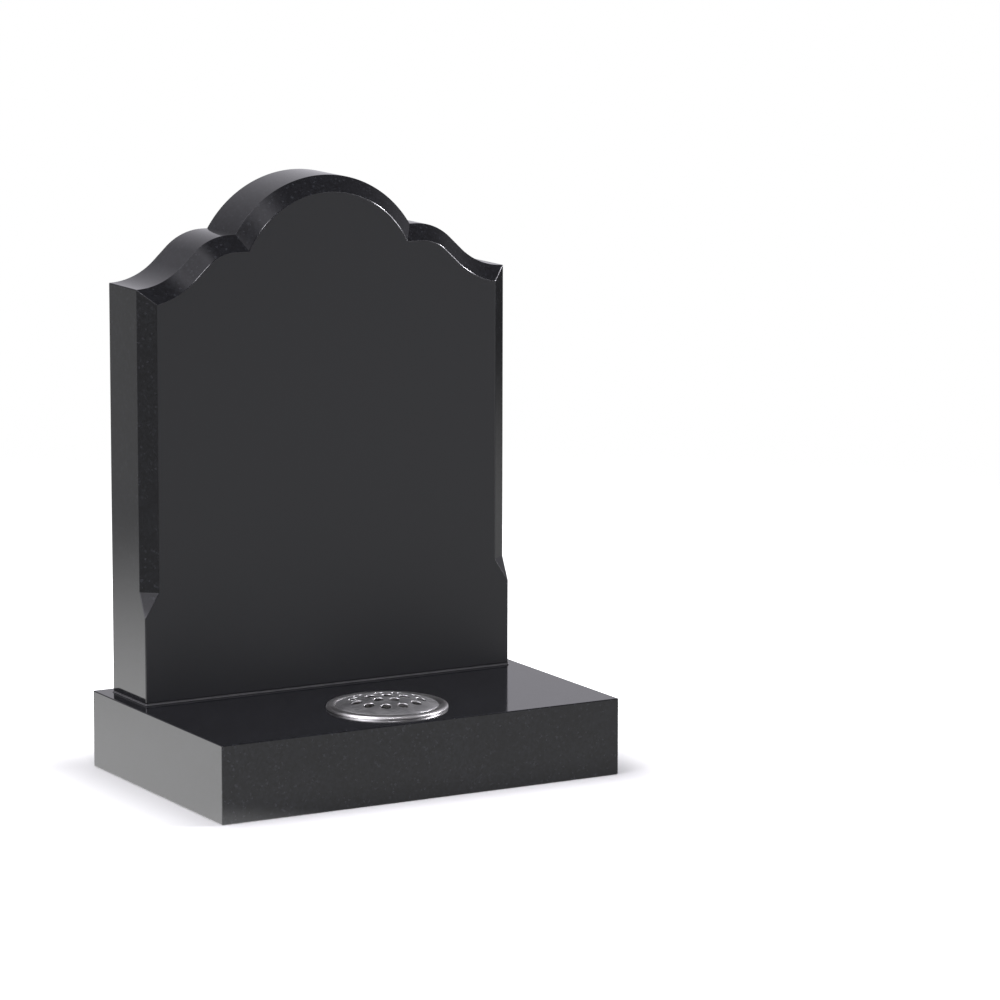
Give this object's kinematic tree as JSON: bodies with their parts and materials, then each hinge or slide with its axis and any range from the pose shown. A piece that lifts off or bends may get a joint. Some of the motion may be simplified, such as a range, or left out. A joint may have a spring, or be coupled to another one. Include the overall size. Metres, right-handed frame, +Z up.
{
  "type": "headstone",
  "caption": "Upright stone tablet with an arched crown, ogee shoulders and a stopped chamfer, on a low slab base with a round flower container sunk in its front ledge.",
  "frame": {"origin": "middle of the base's underside", "axes": "+Z up; the front face with the chamfer and the container's ledge are towards -Y; +X to the right as seen from the front"},
  "size_m": [0.58, 0.379, 0.7793],
  "materials": {
    "base_granite": "polished fine-grained black granite with faint grey speckle",
    "tablet_granite": "polished fine-grained black granite",
    "jointing": "dark grey jointing compound, struck smooth and slightly glossy",
    "container_aluminium": "spun, bright rim",
    "lid_aluminium": "brushed in rings"
  },
  "bodies": {
    "root": {"base": "base_granite", "joint_bed": "jointing", "tablet": "tablet_granite", "flower_container": "container_aluminium", "container_lid": "lid_aluminium"}
  },
  "joints": []
}
